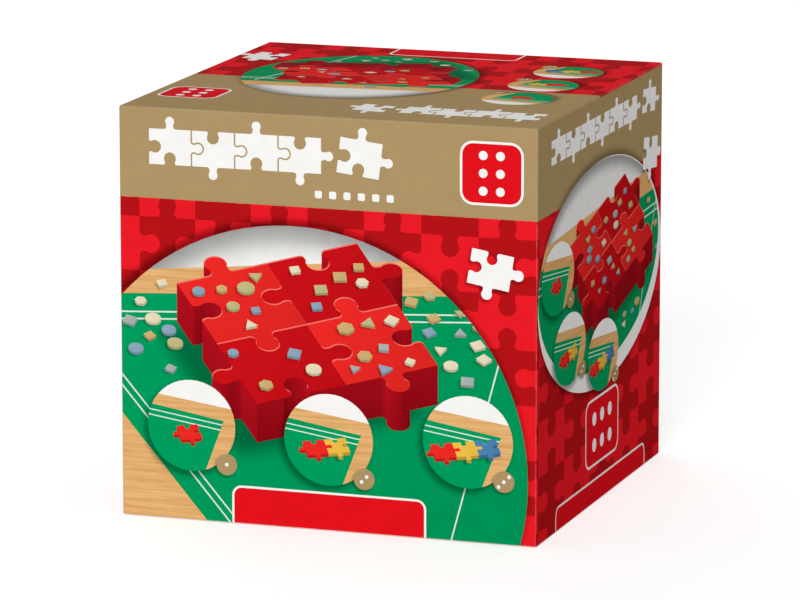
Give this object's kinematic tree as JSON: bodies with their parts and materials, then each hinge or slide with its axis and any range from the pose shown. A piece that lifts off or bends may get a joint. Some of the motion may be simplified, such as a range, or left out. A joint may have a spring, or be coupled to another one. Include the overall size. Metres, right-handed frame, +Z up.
{
  "type": "puzzle sorter game box",
  "caption": "Square paper-covered game box with a full-depth lift-off lid, holding a nested stack of shallow square plastic sorting trays that lift out one after another.",
  "frame": {"origin": "middle of the footprint, on the surface that the box stands on", "axes": "+Z up, out of the lid's top; -Y towards the front, the face that the picture shows largest; +X towards the side that it shows foreshortened"},
  "size_m": [0.2102, 0.2102, 0.2015],
  "materials": {
    "printed_cover": "gloss-coated print, flat and smooth",
    "plain_cover": "matt coated paper in the tan of the print's header",
    "stay_paper": "gummed kraft paper",
    "greyboard": "bare recycled board with small fibres",
    "tray_plastic": "smooth injection-moulded plastic"
  },
  "bodies": {
    "base": {"base_floor_board": "greyboard", "base_front_wall": "greyboard", "base_back_wall": "greyboard", "base_left_wall": "greyboard", "base_right_wall": "greyboard", "base_corner_stays": "stay_paper", "base_cover": "plain_cover", "base_bottom_sheet": "plain_cover"},
    "tray_1": {"tray_1": "tray_plastic"},
    "tray_2": {"tray_2": "tray_plastic"},
    "tray_3": {"tray_3": "tray_plastic"},
    "tray_4": {"tray_4": "tray_plastic"},
    "tray_5": {"tray_5": "tray_plastic"},
    "tray_6": {"tray_6": "tray_plastic"},
    "lid": {"lid_top_board": "greyboard", "lid_front_wall": "greyboard", "lid_back_wall": "greyboard", "lid_left_wall": "greyboard", "lid_right_wall": "greyboard", "lid_corner_stays": "stay_paper", "lid_cover": "printed_cover"}
  },
  "joints": [
    {"name": "tray_1_lift", "type": "slide", "parent": "base", "child": "tray_1", "axis": [0, 0, 1], "range_m": [0, 0.134]},
    {"name": "tray_2_lift", "type": "slide", "parent": "tray_1", "child": "tray_2", "axis": [0, 0, 1], "range_m": [0, 0.113]},
    {"name": "tray_3_lift", "type": "slide", "parent": "tray_2", "child": "tray_3", "axis": [0, 0, 1], "range_m": [0, 0.092]},
    {"name": "tray_4_lift", "type": "slide", "parent": "tray_3", "child": "tray_4", "axis": [0, 0, 1], "range_m": [0, 0.071]},
    {"name": "tray_5_lift", "type": "slide", "parent": "tray_4", "child": "tray_5", "axis": [0, 0, 1], "range_m": [0, 0.05]},
    {"name": "tray_6_lift", "type": "slide", "parent": "tray_5", "child": "tray_6", "axis": [0, 0, 1], "range_m": [0, 0.029]},
    {"name": "lid_lift", "type": "slide", "parent": "tray_6", "child": "lid", "axis": [0, 0, 1], "range_m": [0, 0.1416]}
  ]
}
